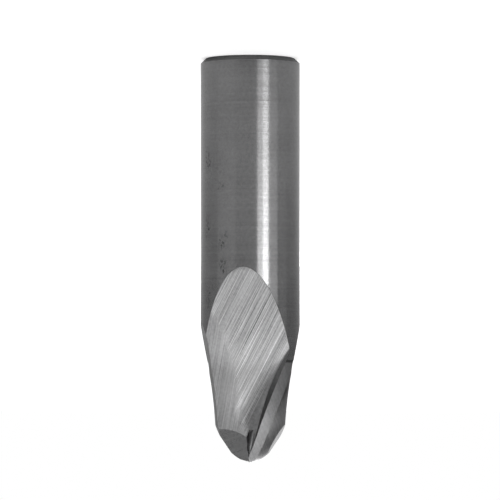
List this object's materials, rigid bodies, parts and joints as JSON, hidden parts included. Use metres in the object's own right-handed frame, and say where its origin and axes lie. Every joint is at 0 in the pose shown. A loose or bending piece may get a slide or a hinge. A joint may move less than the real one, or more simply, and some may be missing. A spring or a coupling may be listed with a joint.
{
  "type": "ball nose end mill",
  "caption": "Solid carbide milling cutter with a plain cylindrical shank, opposed helical flutes and a tapered ball nose.",
  "frame": {"origin": "centre of the shank's flat end face, on which the tool stands", "axes": "+Z along the tool's axis from the shank's end towards the ball nose; -Y faces the viewer of the picture, who sees one flute open; +X completes a right-handed frame"},
  "size_m": [0.02, 0.02, 0.0815],
  "materials": {
    "carbide": "bare ground tungsten carbide"
  },
  "bodies": {
    "root": {"end_mill": "carbide"}
  },
  "joints": []
}
